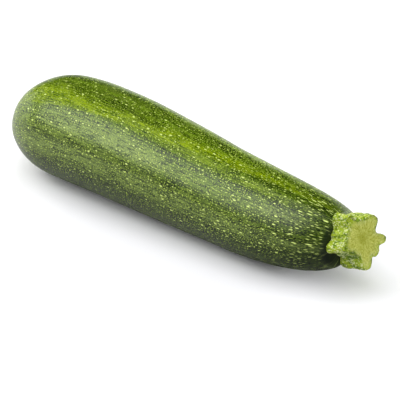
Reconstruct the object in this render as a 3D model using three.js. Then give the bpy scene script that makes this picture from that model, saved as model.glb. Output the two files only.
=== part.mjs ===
// A whole courgette with the cut stub of its stalk, lying on its side.
// Millimetres, +Z up. +X runs from the blossom end to the stalk end, and the underside rests on z = 0.
import * as THREE from 'three';

const DEGREE = Math.PI / 180;

// Fruit: length and girth. The radius follows a cubic Bezier along the length, rounded off at both ends.
const FRUIT_LENGTH = 183;                          // blossom tip to where the skin would close under the stalk
const GIRTH_CONTROLS = [19.6, 29.5, 13.6, 21.4];   // Bezier control radii, blossom end to shoulder
const BLOSSOM_ROUNDING = { reach: 29, power: 2.15 };
const SHOULDER_ROUNDING = { reach: 60, power: 2.2 };
const NECK_LIFT = { height: 1.6, power: 6 };       // the stalk end curves up a little
const BOW = 0.7;                                   // sideways bend in the middle
const SWAY = 2.2;                                  // sideways S shape

// Fruit: surface.
const RIB_HEIGHT_MIDDLE = 0.3;
const RIB_HEIGHT_SHOULDER = 1.0;
const RIB_SPREAD = 22 * DEGREE;
const SCAR_RADIUS = 4.5;                           // corky scar left by the blossom
const SCAR_RISE = 0.5;
const FLAT_DEPTH = 0.5;                            // how much of the underside is pressed flat where it lies

// Stalk: a star-shaped stub between its seat on the fruit and a slanted cut.
const SEAT_X = 175;                                // where the fruit ends, flat, under the stalk
const SEAM = 0.3;                                  // gap between the fruit and the stalk
const STALK_OFFSET = { y: 1.05, z: 1 };            // from the fruit's middle to the stalk's, at the base
const STALK_RUN = { x: 10.8, y: -1.15, z: 3.75 };  // from the middle of the base to that of the cut
const CORE_RADIUS = { base: 7.7, cut: 6.75 };
const CUT_PITCH = 16 * DEGREE;                     // the cut face looks up
const CUT_YAW = -9.5 * DEGREE;                     // and a little to -Y
const TOE_SHARE = 0.25;                            // the ridges round off over this first share of the stalk
const TOE_REACH = 0.32;
const TOE_POWER = 2.2;

// The stalk's ridges, as directions from +Y towards +Z, with how far each one stands out at the base and
// at the cut. The main ones run on as ribs of the fruit.
const RIDGES = [
  { angle: 41, base: 3.4, cut: 3.6, spread: 21, main: true },
  { angle: 119, base: 7.4, cut: 6.1, spread: 14, main: true },
  { angle: 146, base: 1.6, cut: 0.3, spread: 11, main: false },
  { angle: 184, base: 3.3, cut: 4.5, spread: 16, main: true },
  { angle: 269, base: 5.5, cut: 6.0, spread: 16, main: true },
  { angle: 306, base: 3.0, cut: 3.5, spread: 18, main: false },
  { angle: 341, base: 4.0, cut: 4.9, spread: 14, main: true },
];

// Mesh resolution.
const FRUIT_STATIONS = 44;
const FRUIT_SIDES = 48;
const STALK_STATIONS = 9;
const STALK_SIDES = 72;
const STATION_SWEEP = 0.85 * Math.PI;              // stations bunch up at the blossom end

const turn = (angle) => Math.atan2(Math.sin(angle), Math.cos(angle));

function bezier([a, b, c, d], t) {
  const s = 1 - t;
  return s ** 3 * a + 3 * s ** 2 * t * b + 3 * s * t ** 2 * c + t ** 3 * d;
}

// 0 at the very end, rising to 1 at the rounding's reach.
function rounding({ reach, power }, distance) {
  const inside = Math.max(0, 1 - distance / reach);
  return (1 - inside ** power) ** (1 / power);
}

// One closed skin over rings of equal count, with a point in the middle of each end.
function closedSkin(rings, startPoint, endPoint) {
  const sides = rings[0].length;
  const points = [startPoint, ...rings.flat(), endPoint];
  const indices = [];
  const at = (ring, side) => 1 + ring * sides + (side % sides);
  for (let side = 0; side < sides; side += 1) {
    indices.push(0, at(0, side + 1), at(0, side));
    for (let ring = 0; ring < rings.length - 1; ring += 1) {
      indices.push(at(ring, side), at(ring, side + 1), at(ring + 1, side));
      indices.push(at(ring, side + 1), at(ring + 1, side + 1), at(ring + 1, side));
    }
    indices.push(points.length - 1, at(rings.length - 1, side), at(rings.length - 1, side + 1));
  }
  const geometry = new THREE.BufferGeometry().setFromPoints(points);
  geometry.setIndex(indices);
  geometry.computeVertexNormals();
  return geometry;
}

// ---- fruit ----

function ribWave(angle) {
  const ribs = RIDGES.filter((ridge) => ridge.main);
  return ribs.reduce((sum, rib) => {
    const offset = turn(angle - rib.angle * DEGREE) / RIB_SPREAD;
    return sum + Math.exp(-(offset ** 2));
  }, 0) - 0.5;
}

function fruitSection(x) {
  const along = x / FRUIT_LENGTH;
  const centred = 2 * along - 1;
  const girth = bezier(GIRTH_CONTROLS, along);
  const ends = rounding(BLOSSOM_ROUNDING, x) * rounding(SHOULDER_ROUNDING, FRUIT_LENGTH - x);
  const ribGrowth = Math.max(0, centred) ** 2;
  const lift = NECK_LIFT.height * Math.max(0, centred) ** NECK_LIFT.power;
  return {
    radius: girth * ends,
    ribHeight: THREE.MathUtils.lerp(RIB_HEIGHT_MIDDLE, RIB_HEIGHT_SHOULDER, ribGrowth) * ends,
    y: BOW * (1 - centred ** 2) + SWAY * (centred ** 3 - centred),
    z: girth + lift - FLAT_DEPTH,
  };
}

function fruitPoint(x, angle) {
  const section = fruitSection(x);
  const radius = section.radius + section.ribHeight * ribWave(angle);
  const scar = Math.max(0, 1 - (radius / SCAR_RADIUS) ** 4);
  return new THREE.Vector3(
    x < FRUIT_LENGTH / 2 ? x - SCAR_RISE * scar : x,
    section.y + radius * Math.cos(angle),
    Math.max(0, section.z + radius * Math.sin(angle)),
  );
}

function makeFruit() {
  const rings = [];
  for (let station = 1; station <= FRUIT_STATIONS; station += 1) {
    const sweep = (station / FRUIT_STATIONS) * STATION_SWEEP;
    const x = SEAT_X * (1 - Math.cos(sweep)) / (1 - Math.cos(STATION_SWEEP));
    const ring = [];
    for (let side = 0; side < FRUIT_SIDES; side += 1) {
      ring.push(fruitPoint(x, (side / FRUIT_SIDES) * 2 * Math.PI));
    }
    rings.push(ring);
  }
  const tip = fruitSection(0);
  const seat = fruitSection(SEAT_X);
  const tipPoint = new THREE.Vector3(-SCAR_RISE, tip.y, tip.z);
  const seatPoint = new THREE.Vector3(SEAT_X, seat.y, seat.z);
  return closedSkin(rings, tipPoint, seatPoint);
}

// ---- stalk ----

// How much of its reach a ridge has: less at the base, where it ends in a round toe.
function toe(share) {
  const inside = Math.max(0, (TOE_SHARE - share) / TOE_REACH);
  return (1 - inside ** TOE_POWER) ** (1 / TOE_POWER);
}

function starRadius(angle, share) {
  const { lerp } = THREE.MathUtils;
  return RIDGES.reduce((sum, ridge) => {
    const offset = Math.abs(turn(angle - ridge.angle * DEGREE)) / (ridge.spread * DEGREE);
    const reach = lerp(ridge.base, ridge.cut, share ** 0.7) * toe(share);
    return sum + reach * Math.exp(-(offset ** 3));
  }, lerp(CORE_RADIUS.base, CORE_RADIUS.cut, share));
}

// A star section of the stalk: 0 is the flat base, 1 is the slanted cut.
function stalkRing(share) {
  const seat = fruitSection(SEAT_X);
  const middle = new THREE.Vector3(
    SEAT_X + SEAM + STALK_RUN.x * share,
    seat.y + STALK_OFFSET.y + STALK_RUN.y * share,
    seat.z + STALK_OFFSET.z + STALK_RUN.z * share,
  );
  const slant = new THREE.Euler(0, -CUT_PITCH * share, CUT_YAW * share, 'ZYX');
  const ring = [];
  for (let side = 0; side < STALK_SIDES; side += 1) {
    const angle = (side / STALK_SIDES) * 2 * Math.PI;
    const radius = starRadius(angle, share);
    const point = new THREE.Vector3(0, radius * Math.cos(angle), radius * Math.sin(angle));
    ring.push(point.applyEuler(slant).add(middle));
  }
  return { ring, middle };
}

function makeStalk() {
  const sections = [];
  for (let station = 0; station <= STALK_STATIONS; station += 1) {
    sections.push(stalkRing(station / STALK_STATIONS));
  }
  const rings = sections.map((section) => section.ring);
  return closedSkin(rings, sections[0].middle, sections[STALK_STATIONS].middle);
}

// ---- assembly ----

const skinMaterial = new THREE.MeshStandardMaterial({ color: 0x55702a, roughness: 0.42, metalness: 0 });
const stalkMaterial = new THREE.MeshStandardMaterial({ color: 0x9bb544, roughness: 0.6, metalness: 0 });

const fruit = new THREE.Mesh(makeFruit(), skinMaterial);
fruit.name = 'fruit';

const stem = new THREE.Mesh(makeStalk(), stalkMaterial);
stem.name = 'stem';

const courgette = new THREE.Group();
courgette.add(fruit, stem);

// The origin is on the ground, under the middle of the whole courgette.
const extent = new THREE.Box3().setFromObject(courgette);
const middle = extent.getCenter(new THREE.Vector3());
courgette.position.set(-middle.x, -middle.y, -extent.min.z);
courgette.updateMatrixWorld(true);

export default courgette;
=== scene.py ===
# %% [markdown]
# # A courgette, lying on its side
# This notebook finishes a whole courgette in Blender: the fruit with its waxy, speckled skin, and the
# cut stub of its stalk. The packed model gives every place and size, and is loaded as a fixed frame.
# Each step says what the piece is on a real courgette, how it could be made, and why one way was chosen.

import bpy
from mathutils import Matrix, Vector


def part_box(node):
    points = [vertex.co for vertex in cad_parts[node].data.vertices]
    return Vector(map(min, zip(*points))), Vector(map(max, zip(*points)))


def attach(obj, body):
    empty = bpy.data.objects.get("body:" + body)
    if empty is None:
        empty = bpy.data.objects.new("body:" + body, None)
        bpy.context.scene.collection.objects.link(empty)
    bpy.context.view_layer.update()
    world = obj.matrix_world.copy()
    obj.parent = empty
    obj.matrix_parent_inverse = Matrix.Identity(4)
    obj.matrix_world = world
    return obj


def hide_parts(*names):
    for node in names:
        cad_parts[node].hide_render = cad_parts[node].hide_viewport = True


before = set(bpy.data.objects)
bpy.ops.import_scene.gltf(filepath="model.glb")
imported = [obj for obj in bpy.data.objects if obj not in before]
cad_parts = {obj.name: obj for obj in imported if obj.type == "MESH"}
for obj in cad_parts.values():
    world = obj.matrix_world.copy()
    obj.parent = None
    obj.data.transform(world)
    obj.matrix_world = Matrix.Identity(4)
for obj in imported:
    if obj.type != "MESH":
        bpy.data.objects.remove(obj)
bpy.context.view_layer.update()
print("nodes in the frame:", sorted(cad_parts))

# %% Tools for the whole notebook
import math

import bpy
from mathutils import Matrix, Vector

MM = 0.001
MILLILITRE = 1e-6
DEGREE = math.pi / 180
BODY = "root"

# %% [markdown]
# ## The camera
# A long lens from a metre away keeps the fruit's far end nearly as large as its near one, which is how a
# vegetable is pictured for a shop. It could be placed by eye, but its direction, distance and aim are
# known here, so it is worked out from them, starting at the fruit's flower end.

# %% Camera
IMAGE_SIDE = 400
SENSOR = 36
VIEW_AZIMUTH = 41.3 * DEGREE
VIEW_ELEVATION = 28 * DEGREE
VIEW_DISTANCE = 1000 * MM
FOCAL_PIXELS = 2426
NEAREST_SEEN = 10 * MM
AIM_ALONG = 102.2 * MM
AIM_ASIDE = -1.35 * MM
AIM_DROP = 0.5 * MM
AIM_UP = 11.8 * MM


def aim_point():
    """The point under the fruit, close to the ground, that the view is measured from."""
    low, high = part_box("fruit")
    return Vector((low.x + AIM_ALONG, (low.y + high.y) / 2 + AIM_ASIDE, -AIM_DROP))


def add_camera():
    """A camera that looks at the courgette from the front, the stalk's side and above."""
    data = bpy.data.cameras.new("view")
    data.sensor_width = SENSOR
    data.lens = FOCAL_PIXELS * SENSOR / IMAGE_SIDE
    data.clip_start = NEAREST_SEEN
    camera = bpy.data.objects.new("view", data)
    bpy.context.collection.objects.link(camera)
    back = Vector((
        math.sin(VIEW_AZIMUTH) * math.cos(VIEW_ELEVATION),
        -math.cos(VIEW_AZIMUTH) * math.cos(VIEW_ELEVATION),
        math.sin(VIEW_ELEVATION),
    ))
    turn = back.to_track_quat("Z", "Y")
    camera.location = aim_point() + turn @ Vector((0, AIM_UP, 0)) + back * VIEW_DISTANCE
    camera.rotation_euler = turn.to_euler()
    bpy.context.scene.camera = camera
    return camera


camera = add_camera()
print("lens in mm:", round(camera.data.lens, 1), "at", tuple(round(c, 3) for c in camera.location))

# %% [markdown]
# ## Formulas as nodes
# A courgette follows rules: a girth that swells and tapers, ends that round off, ribs that run its whole
# length. Such a rule is easiest to read as a line of arithmetic, while Geometry Nodes and shaders want a
# chain of Math nodes. `Term` closes that gap: it stands for a socket, and adding or multiplying it places
# the Math node. The same few helpers then serve the shapes and the finishes.

# %% Arithmetic on sockets


class Term:
    """A number that comes out of a socket, and takes part in arithmetic by adding Math nodes."""

    def __init__(self, socket):
        self.socket = socket
        self.tree = socket.id_data

    def math(self, operation, *others):
        step = self.tree.nodes.new("ShaderNodeMath")
        step.operation = operation
        for socket, term in zip(step.inputs, (self, *others)):
            plug(socket, term)
        return Term(step.outputs[0])

    def __add__(self, other):
        return self.math("ADD", other)

    def __sub__(self, other):
        return self.math("SUBTRACT", other)

    def __mul__(self, other):
        return self.math("MULTIPLY", other)

    def __truediv__(self, other):
        return self.math("DIVIDE", other)

    def __pow__(self, other):
        return self.math("POWER", other)

    def __rsub__(self, other):
        return self * -1 + other

    def __rtruediv__(self, other):
        return self ** -1 * other

    __radd__ = __add__
    __rmul__ = __mul__

    def floor(self):
        return self.math("FLOOR")

    def at_least(self, lowest):
        return self.math("MAXIMUM", lowest)

    def at_most(self, highest):
        return self.math("MINIMUM", highest)


print("besides arithmetic, a term can do:", [name for name in vars(Term) if not name.startswith("_")])

# %% Placing nodes


def plug(socket, value):
    """Links a term to an input socket, or sets a plain value on it."""
    if isinstance(value, Term):
        socket.id_data.links.new(value.socket, socket)
    else:
        socket.default_value = value


def add(tree, kind, inputs=None, **settings):
    """Adds a node, sets its settings, plugs its inputs by name, and returns it."""
    node = tree.nodes.new(kind)
    for name, value in settings.items():
        setattr(node, name, value)
    for name, value in (inputs or {}).items():
        plug(node.inputs[name], value)
    return node


def result(tree, kind, inputs=None, **settings):
    """Adds a node as above, and returns its first output as a term."""
    return Term(add(tree, kind, inputs, **settings).outputs[0])


def vector(x, y, z):
    """Three numbers, the first of them a term, joined in a vector."""
    return result(x.tree, "ShaderNodeCombineXYZ", {"X": x, "Y": y, "Z": z})


def components(value):
    """A vector's three terms."""
    split = add(value.tree, "ShaderNodeSeparateXYZ", {"Vector": value})
    return [Term(output) for output in split.outputs]


print("node helpers:", [helper.__name__ for helper in (plug, add, result, vector, components)])

# %% Soft steps and sums


def smooth(value, low, high):
    """0 below low, 1 above high, with a soft step between. It falls instead where low is the larger."""
    step = add(value.tree, "ShaderNodeMapRange", interpolation_type="SMOOTHSTEP")
    for socket, number in zip(step.inputs, (value, low, high, 0.0, 1.0)):
        plug(socket, number)
    return Term(step.outputs[0])


def between(share, a, b):
    """A number that goes from a to b as share goes from 0 to 1."""
    return (b - a) * share + a


def add_up(terms):
    """The sum of a list of terms."""
    total = terms[0]
    for term in terms[1:]:
        total = total + term
    return total


print("number helpers:", [helper.__name__ for helper in (smooth, between, add_up)])

# %% [markdown]
# A new node group needs a face: named inputs with their usual values, and named outputs. `new_group` makes
# it, for geometry and for shaders alike, and hands back the inputs as terms. `grow` runs a geometry tree on
# an empty mesh and keeps what it made as a plain mesh, so nothing live stays on the finished piece.

# %% New node groups
SOCKETS = {
    int: "NodeSocketInt",
    float: "NodeSocketFloat",
    Vector: "NodeSocketVector",
    bpy.types.Material: "NodeSocketMaterial",
    bpy.types.Mesh: "NodeSocketGeometry",
}


def new_group(name, kind, inputs, outputs):
    """A node group of that kind. Returns the group, its input terms by name, and its output node."""
    tree = bpy.data.node_groups.new(name, kind)
    for label, value in inputs.items():
        sort = value if isinstance(value, type) else type(value)
        socket = tree.interface.new_socket(label, in_out="INPUT", socket_type=SOCKETS[sort])
        if not isinstance(value, type):
            socket.default_value = value
    for label, sort in outputs.items():
        tree.interface.new_socket(label, in_out="OUTPUT", socket_type=SOCKETS[sort])
    entry = tree.nodes.new("NodeGroupInput")
    terms = {socket.name: Term(socket) for socket in entry.outputs if socket.name}
    return tree, terms, tree.nodes.new("NodeGroupOutput")


def grow(tree, name, sizes, start=None):
    """Runs a geometry tree, on an empty mesh or on start, and returns the plain mesh that it grew."""
    seed = bpy.data.objects.new(name + "_seed", start or bpy.data.meshes.new(name + "_seed"))
    bpy.context.collection.objects.link(seed)
    modifier = seed.modifiers.new(tree.name, "NODES")
    modifier.node_group = tree
    identifiers = {item.name: item.identifier for item in tree.interface.items_tree if item.in_out == "INPUT"}
    for label, value in sizes.items():
        modifier[identifiers[label]] = value
    bpy.context.view_layer.update()
    grown = seed.evaluated_get(bpy.context.evaluated_depsgraph_get())
    mesh = bpy.data.meshes.new_from_object(grown)
    bpy.data.objects.remove(seed)
    mesh.name = name
    return mesh


def volume_ml(mesh):
    """The volume inside a closed mesh, in millilitres. It is positive when the faces point outwards."""
    mesh.calc_loop_triangles()
    corners = [vertex.co for vertex in mesh.vertices]
    total = 0
    for triangle in mesh.loop_triangles:
        a, b, c = (corners[index] for index in triangle.vertices)
        total += a.dot(b.cross(c)) / 6
    return total / MILLILITRE


print("group helpers:", [helper.__name__ for helper in (new_group, grow, volume_ml)])

# %% [markdown]
# ## The fruit's body
# A courgette swells from the flower's end, slims towards the stalk, and rounds off at both ends. Five soft
# ribs run up it into the stalk's ridges. The flower leaves a scar at its end, a low button with a dish in
# its middle and puckers around it. It could all be sculpted or subdivided from a cage, but its shape follows
# a rule, so Geometry Nodes bend a flat grid into it: one side of the grid is the way along the fruit, the
# other the way around. These are its sizes, measured from the flower's tip.

# %% Sizes of the fruit
FRUIT = {
    "Fruit length": 183 * MM,
    "Seat": 177 * MM,
    "Blossom girth": 19.6 * MM,
    "Belly girth": 29.5 * MM,
    "Waist girth": 13.6 * MM,
    "Shoulder girth": 21.4 * MM,
    "Blossom rounding": 29.0 * MM,
    "Blossom power": 2.15,
    "Shoulder rounding": 60.0 * MM,
    "Shoulder power": 2.2,
    "Seat rounding": 3.2 * MM,
    "Seat power": 3.0,
    "Neck lift": 1.6 * MM,
    "Neck power": 6.0,
    "Bow": 0.7 * MM,
    "Sway": 2.2 * MM,
    "Flat depth": 0.5 * MM,
    "Rib height": 0.3 * MM,
    "Shoulder rib height": 1.0 * MM,
    "Rib spread": 22 * DEGREE,
    "Lump height": 0.35 * MM,
    "Scar radius": 4.5 * MM,
    "Scar rise": 0.75 * MM,
    "Scar dish radius": 2.6 * MM,
    "Scar dish depth": 0.6 * MM,
    "Pucker height": 0.14 * MM,
    "Seed": 3.0,
    "Stations": 400,
    "Sides": 241,
}
RIB_ANGLES = [41, 119, 184, 269, 341]
RIB_LEVEL = 0.5                   # the share of a rib's height that lies inside the plain girth
STATION_SWEEP = 0.85 * math.pi    # the grid's stations crowd together at the flower's end
LUMP_LENGTH = 38 * MM
LUMP_SIZE = 0.77                  # of one lump, where the girth is a circle of radius 1
SCAR_HALF = (0.5, 0.4)            # how far along the fruit the scar's formula fades out
PUCKERS = 11
PUCKER_MIDDLE = 5.5 * MM
PUCKER_SPREAD = 2.2 * MM
PUCKER_WANDER = 2                 # how far the puckers stray from even spacing, in radians of a fold
PUCKER_NOISE_SIZE = 0.5
YOUNG_NECK_RADIUS = 17 * MM       # the stalk end of the young fruit, before it grew narrow
YOUNG_NECK = (0.5, 0.7)           # where that neck starts, and where it has its full effect
STRETCH_START = 0.35              # how far along the fruit its growth in length starts to show
STRETCH = 0.3
print("fruit length in mm:", round(FRUIT["Fruit length"] / MM, 1))

# %% Formulas of the fruit


def bezier(controls, t):
    """A cubic Bezier through four control terms."""
    a, b, c, d = controls
    s = 1 - t
    return s * s * s * a + s * s * t * b * 3 + s * t * t * c * 3 + t * t * t * d


def rounding(distance, reach, power):
    """0 at the very end, rising to 1 at the rounding's reach."""
    inside = (1 - distance / reach).at_least(0)
    return (1 - inside ** power).at_least(0) ** (1 / power)


def bump(value, middle, spread):
    """A smooth bump, 1 at its middle."""
    offset = (value - middle) / spread
    return (offset * offset * -1).math("EXPONENT")


def bump_around(angle, middle, spread):
    """A soft bump around the fruit that is 1 at the middle angle."""
    lean = (angle - middle).math("COSINE")
    return ((lean - 1) * 2 / (spread * spread)).math("EXPONENT")


print("formulas:", [formula.__name__ for formula in (bezier, rounding, bump, bump_around)])

# %% [markdown]
# Every bent grid is made in the same steps: the maps that it should carry are stored on it, its points are
# moved to their places, the doubled points along the seam and at the poles are merged, and the faces are
# turned outwards. The seam could be left open, but then the piece would have no inside to measure.

# %% Helpers for bent grids
MERGE_DISTANCE = 0.001 * MM


def bent_grid(tree, stations, sides, point, maps):
    """A grid bent to the points, with its seam and poles closed, carrying vector maps by name."""
    grid = result(tree, "GeometryNodeMeshGrid", {
        "Size X": 1.0, "Size Y": 1.0, "Vertices X": stations, "Vertices Y": sides,
    })
    for name, value in maps.items():
        grid = result(tree, "GeometryNodeStoreNamedAttribute", {
            "Geometry": grid, "Name": name, "Value": value,
        }, data_type="FLOAT_VECTOR", domain="POINT")
    bent = result(tree, "GeometryNodeSetPosition", {"Geometry": grid, "Position": point})
    closed = result(tree, "GeometryNodeMergeByDistance", {"Geometry": bent, "Distance": MERGE_DISTANCE})
    closed = result(tree, "GeometryNodeFlipFaces", {"Mesh": closed})
    return result(tree, "GeometryNodeSetShadeSmooth", {"Geometry": closed})


def dressed(tree, geometry, material):
    """The end of every tree: real faces that wear their material."""
    real = result(tree, "GeometryNodeRealizeInstances", {"Geometry": geometry})
    return result(tree, "GeometryNodeSetMaterial", {"Geometry": real, "Material": material})


def grid_shares(tree):
    """How far along and how far around the grid a point is, from 0 to 1."""
    along, around, _ = components(result(tree, "GeometryNodeInputPosition"))
    return along + 0.5, around + 0.5


def noise(vector_term, seed, size, detail=2.0):
    """Soft noise between about -1 and 1, with lumps of the given size."""
    value = result(vector_term.tree, "ShaderNodeTexNoise", {
        "Vector": vector_term, "W": seed, "Scale": 1 / size, "Detail": detail,
    }, noise_dimensions="4D")
    return (value - 0.5) * 2


print("grid helpers:", [helper.__name__ for helper in (bent_grid, dressed, grid_shares, noise)])

# %% [markdown]
# The formula reads in the order of the fruit: how far along, how thick there, how the ends close, how far
# the ribs and lumps stand out, and where that puts the point. The grid also carries two maps with it. One
# is `skin`, the place on the skin as the young fruit had it, before the stalk end grew long and narrow: a
# pattern laid out on it stretches into streaks towards the stalk, as the flecks of a real courgette do. The
# other is `place`: how far along the fruit a point is, and how far out from its middle line.

# %% The fruit's tree


def flower_scar(size, radius, angle, side, rise):
    """How far the flower's scar stands out: a button with a dish in its middle, and puckers around it."""
    button = (1 - (radius / size["Scar radius"]) ** 4).at_least(0) * size["Scar rise"]
    dish = (1 - (radius / size["Scar dish radius"]) ** 2).at_least(0) * size["Scar dish depth"]
    wander = noise(vector(side, rise, 0.0), size["Seed"] + 1, PUCKER_NOISE_SIZE) * PUCKER_WANDER
    folds = (angle * PUCKERS + wander).math("SINE")
    puckers = folds * bump(radius, PUCKER_MIDDLE, PUCKER_SPREAD) * size["Pucker height"]
    return button - dish + puckers


def young_skin(size, x, along, radius, side, rise):
    """The place on the skin as the young fruit had it, before its stalk end grew long and narrow."""
    grown = (along - STRETCH_START).at_least(0)
    young_x = x - grown * grown * size["Fruit length"] * STRETCH
    young_radius = between(smooth(along, *YOUNG_NECK), radius, radius.at_least(YOUNG_NECK_RADIUS))
    return vector(young_x, side * young_radius, rise * young_radius)


def fruit_tree():
    """A geometry tree that bends a grid into the fruit."""
    tree, size, end = new_group(
        "Courgette fruit", "GeometryNodeTree",
        {**FRUIT, "Skin": bpy.types.Material}, {"Fruit": bpy.types.Mesh},
    )
    share, around = grid_shares(tree)
    angle = around * (2 * math.pi)
    side, rise = angle.math("COSINE"), angle.math("SINE")
    sweep = share * STATION_SWEEP
    x = (1 - sweep.math("COSINE")) * size["Seat"] / (1 - math.cos(STATION_SWEEP))
    along = x / size["Fruit length"]
    centred = along * 2 - 1
    stalkward = centred.at_least(0)

    girth = bezier([size[part + " girth"] for part in ("Blossom", "Belly", "Waist", "Shoulder")], along)
    blossom_end = rounding(x, size["Blossom rounding"], size["Blossom power"])
    stalk_end = rounding(size["Fruit length"] - x, size["Shoulder rounding"], size["Shoulder power"])
    seat_edge = rounding(size["Seat"] - x, size["Seat rounding"], size["Seat power"])
    ends = blossom_end * stalk_end * seat_edge

    ribs = add_up([bump_around(angle, middle * DEGREE, size["Rib spread"]) for middle in RIB_ANGLES])
    rib_height = between(stalkward * stalkward, size["Rib height"], size["Shoulder rib height"])
    lumps = noise(vector(x / LUMP_LENGTH, side, rise), size["Seed"], LUMP_SIZE) * size["Lump height"]
    radius = (girth + (ribs - RIB_LEVEL) * rib_height + lumps) * ends

    scar = flower_scar(size, radius, angle, side, rise) * smooth(along, *SCAR_HALF)
    sideways = (1 - centred * centred) * size["Bow"] + (centred ** 3 - centred) * size["Sway"]
    height = girth + stalkward ** size["Neck power"] * size["Neck lift"] - size["Flat depth"]
    point = vector(
        x - scar,
        side * radius + sideways,
        (rise * radius + height).at_least(0),
    )
    maps = {
        "skin": young_skin(size, x, along, radius, side, rise),
        "place": vector(x, radius, 0.0),
    }
    body = bent_grid(tree, size["Stations"], size["Sides"], point, maps)
    plug(end.inputs["Fruit"], dressed(tree, body, size["Skin"]))
    return tree


fruit_maker = fruit_tree()
print("fruit tree has", len(fruit_maker.nodes), "nodes")

# %% [markdown]
# ## Shared surface effects
# Soft mottling appears on every finish here, and flecks and streaks on more than one, so each is a shader
# node group, built once. They put out only masks and values; the shaders that use them stay in the
# materials. A fleck could come from Voronoi noise, but a courgette's flecks sit in rows that run along the
# fruit, so the group lays out rows of cells and puts one fleck, by luck, in each cell.

# %% Flecks in rows
ROW_SHIFT = 37       # each row starts at its own place, up to this many cells on
END_MARGIN = 0.2     # the shares of a cell that a fleck's middle keeps clear of its ends and its sides
SIDE_MARGIN = 0.25
GAP_REACH = 2.6      # how far the gap around a fleck reaches, against the size of the fleck


def luck_in(row, cell, seed):
    """Three random shares that stay the same all over one cell of one row."""
    chance = add(row.tree, "ShaderNodeTexWhiteNoise", {"Vector": vector(row, cell, seed)},
                 noise_dimensions="3D")
    return components(Term(chance.outputs["Color"]))


def fleck_group():
    """Rows of flecks: one to a cell, each of its own size and in a soft gap, with some cells left bare."""
    tree, given, end = new_group("Flecks in rows", "ShaderNodeTree", {
        "Along": 0.0, "Turn": 0.0, "Radius": 20 * MM, "Rows": 70.0, "Spacing": 3 * MM, "Size": 0.3 * MM,
        "Stretch": 1.5, "Edge": 0.4, "Bare": 0.2, "Seed": 0.0,
    }, {"Mask": float, "Gap": float})
    row_place = given["Turn"] * given["Rows"]
    row = row_place.floor()
    shift, _, _ = luck_in(row, row * 0, given["Seed"])
    cell_place = given["Along"] / given["Spacing"] + shift * ROW_SHIFT
    cell = cell_place.floor()
    where_along, where_across, luck = luck_in(row, cell + 1, given["Seed"])

    row_width = given["Radius"] * (2 * math.pi) / given["Rows"]
    from_end = cell_place - cell - between(where_along, END_MARGIN, 1 - END_MARGIN)
    from_side = row_place - row - between(where_across, SIDE_MARGIN, 1 - SIDE_MARGIN)
    along = from_end * given["Spacing"] / given["Stretch"]
    across = from_side * row_width
    distance = (along * along + across * across).math("SQRT")
    there = smooth(luck, given["Bare"], given["Bare"] + 0.05)
    grade = ((luck - given["Bare"]) / (1 - given["Bare"])).at_least(0)
    reach = given["Size"] * between(grade * grade, 0.5, 1.0)
    mask = 1 - smooth(distance, reach * (1 - given["Edge"]), reach * (1 + given["Edge"]))
    around = 1 - smooth(distance, reach, reach * GAP_REACH)
    plug(end.inputs["Mask"], mask * there)
    plug(end.inputs["Gap"], around * there)
    return tree


flecks = fleck_group()
print("fleck group has", len(flecks.nodes), "nodes")

# %% Mottling and streaks


def mottle_group():
    """Soft blotches: noise pushed apart into a light and a dark share."""
    tree, given, end = new_group("Mottling", "ShaderNodeTree", {
        "Vector": Vector((0, 0, 0)), "Size": 2 * MM, "Detail": 2.0, "Middle": 0.5, "Softness": 0.1,
        "Seed": 0.0,
    }, {"Mask": float})
    soft = result(tree, "ShaderNodeTexNoise", {
        "Vector": given["Vector"], "W": given["Seed"], "Scale": 1 / given["Size"],
        "Detail": given["Detail"], "Roughness": 0.55,
    }, noise_dimensions="4D")
    low = given["Middle"] - given["Softness"]
    high = given["Middle"] + given["Softness"]
    plug(end.inputs["Mask"], smooth(soft, low, high))
    return tree


def effects(tree, group, **inputs):
    """Places a shared effect in a tree and returns all its outputs."""
    node = add(tree, "ShaderNodeGroup", node_tree=group)
    for name, value in inputs.items():
        plug(node.inputs[name.capitalize()], value)
    return [Term(output) for output in node.outputs]


def effect(tree, group, **inputs):
    """Places a shared effect in a tree and returns its first output."""
    return effects(tree, group, **inputs)[0]


mottling = mottle_group()


def streak_group():
    """Fine lines along X: mottling on a map that is drawn out in that direction."""
    tree, given, end = new_group("Streaks", "ShaderNodeTree", {
        "Vector": Vector((0, 0, 0)), "Size": 0.5 * MM, "Stretch": 6.0, "Middle": 0.5, "Softness": 0.15,
        "Seed": 0.0,
    }, {"Mask": float})
    x, y, z = components(given["Vector"])
    lines = effect(tree, mottling, vector=vector(x / given["Stretch"], y, z), size=given["Size"],
                   detail=2.0, middle=given["Middle"], softness=given["Softness"], seed=given["Seed"])
    plug(end.inputs["Mask"], lines)
    return tree


streaks = streak_group()
print("shared effects:", [group.name for group in (flecks, mottling, streaks)])

# %% [markdown]
# ## Colours and materials
# A screen gives a colour in steps from 0 to 255, while shaders mix light itself, in which the middle of that
# scale is much darker than half. The light could be typed in directly, but such numbers are hard to read,
# so `colour` works it out. The other helpers start a material and let it read the maps the mesh carries.

# %% Colours and materials


def colour(red, green, blue):
    """A colour as a screen shows it, 0 to 255 each, turned into the linear light that shaders mix."""
    def linear(level):
        share = level / 255
        return share / 12.92 if share <= 0.04045 else ((share + 0.055) / 1.055) ** 2.4
    return (linear(red), linear(green), linear(blue), 1.0)


def mix(share, a, b):
    """A colour that goes from a to b as share goes from 0 to 1. A colour mix has its own numbered sockets."""
    node = add(share.tree, "ShaderNodeMix", data_type="RGBA")
    plug(node.inputs[0], share)
    plug(node.inputs[6], a)
    plug(node.inputs[7], b)
    return Term(node.outputs[2])


def new_material(name):
    """An empty material with one Principled shader, and that shader."""
    material = bpy.data.materials.new(name)
    material.use_nodes = True
    tree = material.node_tree
    tree.nodes.clear()
    shader = tree.nodes.new("ShaderNodeBsdfPrincipled")
    out = tree.nodes.new("ShaderNodeOutputMaterial")
    tree.links.new(shader.outputs[0], out.inputs["Surface"])
    return material, tree, shader


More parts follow.
